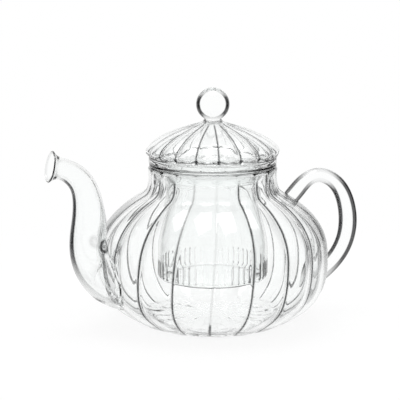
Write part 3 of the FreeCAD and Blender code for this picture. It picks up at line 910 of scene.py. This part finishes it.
class TEAPOT_OT_stage(bpy.types.Operator):
    """Set the studio: pale floor, bright backdrop with dark cards at the sides, softbox and camera"""

    bl_idname = "teapot.stage"
    bl_label = "Stage"

    def execute(self, context):
        scene = context.scene
        stage = scene.teapot_stage
        self.floor(stage)
        self.studio(scene, stage)
        self.softbox(scene)
        self.camera(scene, stage)
        scene.view_settings.view_transform = "Standard"
        scene.cycles.max_bounces = 40
        scene.cycles.transmission_bounces = 40
        scene.cycles.glossy_bounces = 12
        scene.cycles.transparent_max_bounces = 16
        scene.cycles.use_denoising = True
        return {"FINISHED"}

    def floor(self, stage):
        """A pale disc that fades into the backdrop; most of the white it shows is its own, so the shadow is faint."""
        rows = 40
        radius = np.linspace(0.01, stage.floor_radius, rows)[:, None]
        points = grid_points(radius, np.full((rows, 1), -FLOOR_DROP), full_turn(96))
        floor = turned_piece("floor", points[::-1], high=(0, 0, -FLOOR_DROP))
        material = bpy.data.materials.new("pale_floor")
        material.use_nodes = True
        tree = material.node_tree
        tree.nodes.clear()
        place = tree.nodes.new("ShaderNodeTexCoord")
        reach = add_node(tree, "ShaderNodeVectorMath", operation="LENGTH", Vector=place.outputs["Object"])
        fade = add_node(
            tree, "ShaderNodeMapRange", interpolation_type="SMOOTHSTEP", Value=reach.outputs["Value"],
            From_Min=FADE_START, From_Max=stage.floor_radius * FADE_END)
        path = tree.nodes.new("ShaderNodeLightPath").outputs
        seen = maths(tree, "MAXIMUM", path["Is Camera Ray"], path["Is Glossy Ray"])
        seen = maths(tree, "MAXIMUM", seen, path["Is Transmission Ray"])
        pale = add_node(tree, "ShaderNodeBsdfDiffuse", Color=(0.93, 0.93, 0.93, 1))
        glow = add_node(tree, "ShaderNodeEmission", Color=(1, 1, 1, 1), Strength=1.0)
        clear = tree.nodes.new("ShaderNodeBsdfTransparent")
        own = maths(tree, "MULTIPLY", seen, OWN_WHITE)
        white = add_node(tree, "ShaderNodeMixShader", own, pale.outputs["BSDF"], glow.outputs["Emission"])
        shown = add_node(
            tree, "ShaderNodeMixShader", fade.outputs["Result"], white.outputs["Shader"], clear.outputs["BSDF"])
        add_node(tree, "ShaderNodeOutputMaterial", Surface=shown.outputs["Shader"])
        floor.data.materials.append(material)

    def studio(self, scene, stage):
        """White all round for the camera; through the glass, dark cards stand left and right of the backdrop."""
        scene.world = bpy.data.worlds.new("studio")
        scene.world.use_nodes = True
        tree = scene.world.node_tree
        tree.nodes.clear()
        place = tree.nodes.new("ShaderNodeTexCoord")
        behind = add_node(
            tree, "ShaderNodeVectorRotate", rotation_type="Z_AXIS", Vector=place.outputs["Generated"],
            Angle=-stage.azimuth)
        parts = add_node(tree, "ShaderNodeSeparateXYZ", Vector=behind.outputs["Vector"]).outputs
        turn = maths(tree, "ARCTAN2", parts["X"], parts["Y"])
        around = add_node(tree, "ShaderNodeMapRange", Value=turn, From_Min=-math.pi, From_Max=math.pi)
        rise = add_node(tree, "ShaderNodeMapRange", Value=parts["Z"], From_Min=-1.0)
        shades = []
        for card, band in CARDS:
            wide = self.ramp(tree, around, [((angle + 180) / 360, dark) for angle, dark in card])
            tall = self.ramp(tree, rise, [((sine + 1) / 2, dark) for sine, dark in band])
            shades.append(maths(tree, "MULTIPLY", wide, tall))
        dark = maths(tree, "MAXIMUM", *shades)
        dim = add_node(tree, "ShaderNodeMapRange", Value=dark, To_Min=1.0, To_Max=CARD_LIGHT)
        path = tree.nodes.new("ShaderNodeLightPath")
        shown = maths(tree, "MAXIMUM", dim.outputs["Result"], path.outputs["Is Camera Ray"])
        light = add_node(tree, "ShaderNodeBackground", Color=(1, 1, 1, 1), Strength=shown)
        add_node(tree, "ShaderNodeOutputWorld", Surface=light.outputs["Background"])

    def ramp(self, tree, source, stops):
        """A ramp over a mapped value, from stops of place and grey."""
        node = add_node(tree, "ShaderNodeValToRGB", Fac=source.outputs["Result"])
        elements = node.color_ramp.elements
        elements.remove(elements[1])
        for k, (spot, value) in enumerate(stops):
            stop = elements.new(spot) if k else elements[0]
            stop.position = spot
            stop.color = (value, value, value, 1)
        return node.outputs["Color"]

    def softbox(self, scene):
        """A wide soft lamp straight above."""
        lamp = bpy.data.lights.new("softbox", "AREA")
        lamp.size = 0.9
        lamp.energy = 9.0
        box = bpy.data.objects.new("softbox", lamp)
        box.location = (0, 0, 1.6)
        scene.collection.objects.link(box)

    def camera(self, scene, stage):
        """Camera at the viewing angle, aimed beside the pot's axis."""
        lens = bpy.data.cameras.new("camera")
        eye = bpy.data.objects.new("camera", lens)
        scene.collection.objects.link(eye)
        a, e = stage.azimuth, stage.elevation
        back = np.array([math.sin(a) * math.cos(e), -math.cos(a) * math.cos(e), math.sin(e)])
        right = np.array([math.cos(a), math.sin(a), 0])
        aim = np.array([0, 0, AIM_HEIGHT]) - right * AIM_LEFT
        place = aim + back * stage.distance
        turn = np.stack([right, np.cross(back, right), back], axis=1)
        eye.matrix_world = Matrix([[*turn[i], place[i]] for i in range(3)] + [[0, 0, 0, 1]])
        lens.sensor_width = 36
        lens.lens = lens.sensor_width * stage.distance / stage.frame_width
        lens.clip_start, lens.clip_end = 0.01, 50
        scene.camera = eye


OPERATORS = (
    TEAPOT_OT_pot_body, TEAPOT_OT_spout, TEAPOT_OT_handle, TEAPOT_OT_infuser, TEAPOT_OT_lid, TEAPOT_OT_stage)


class TEAPOT_PT_panel(bpy.types.Panel):
    """Lists the teapot's pieces"""

    bl_idname = "TEAPOT_PT_panel"
    bl_label = "Glass Teapot"
    bl_space_type = "VIEW_3D"
    bl_region_type = "UI"
    bl_category = "Teapot"

    def draw(self, context):
        for operator in OPERATORS:
            self.layout.operator(operator.bl_idname)


GROUPS = {"teapot_shape": TeapotShape, "teapot_glass": TeapotGlass, "teapot_stage": TeapotStage}
CLASSES = (*GROUPS.values(), *OPERATORS, TEAPOT_PT_panel)


def register():
    """Registers the classes and hangs the settings on the scene."""
    for each in CLASSES:
        bpy.utils.register_class(each)
    for name, group in GROUPS.items():
        setattr(bpy.types.Scene, name, PointerProperty(type=group))


def unregister():
    """Takes the settings and classes away again."""
    for name in GROUPS:
        delattr(bpy.types.Scene, name)
    for each in reversed(CLASSES):
        bpy.utils.unregister_class(each)


def main():
    """Makes every piece in order."""
    register()
    bpy.ops.teapot.pot_body()
    bpy.ops.teapot.spout()
    bpy.ops.teapot.handle()
    bpy.ops.teapot.infuser()
    bpy.ops.teapot.lid()
    bpy.ops.teapot.stage()


if __name__ == "__main__":
    main()
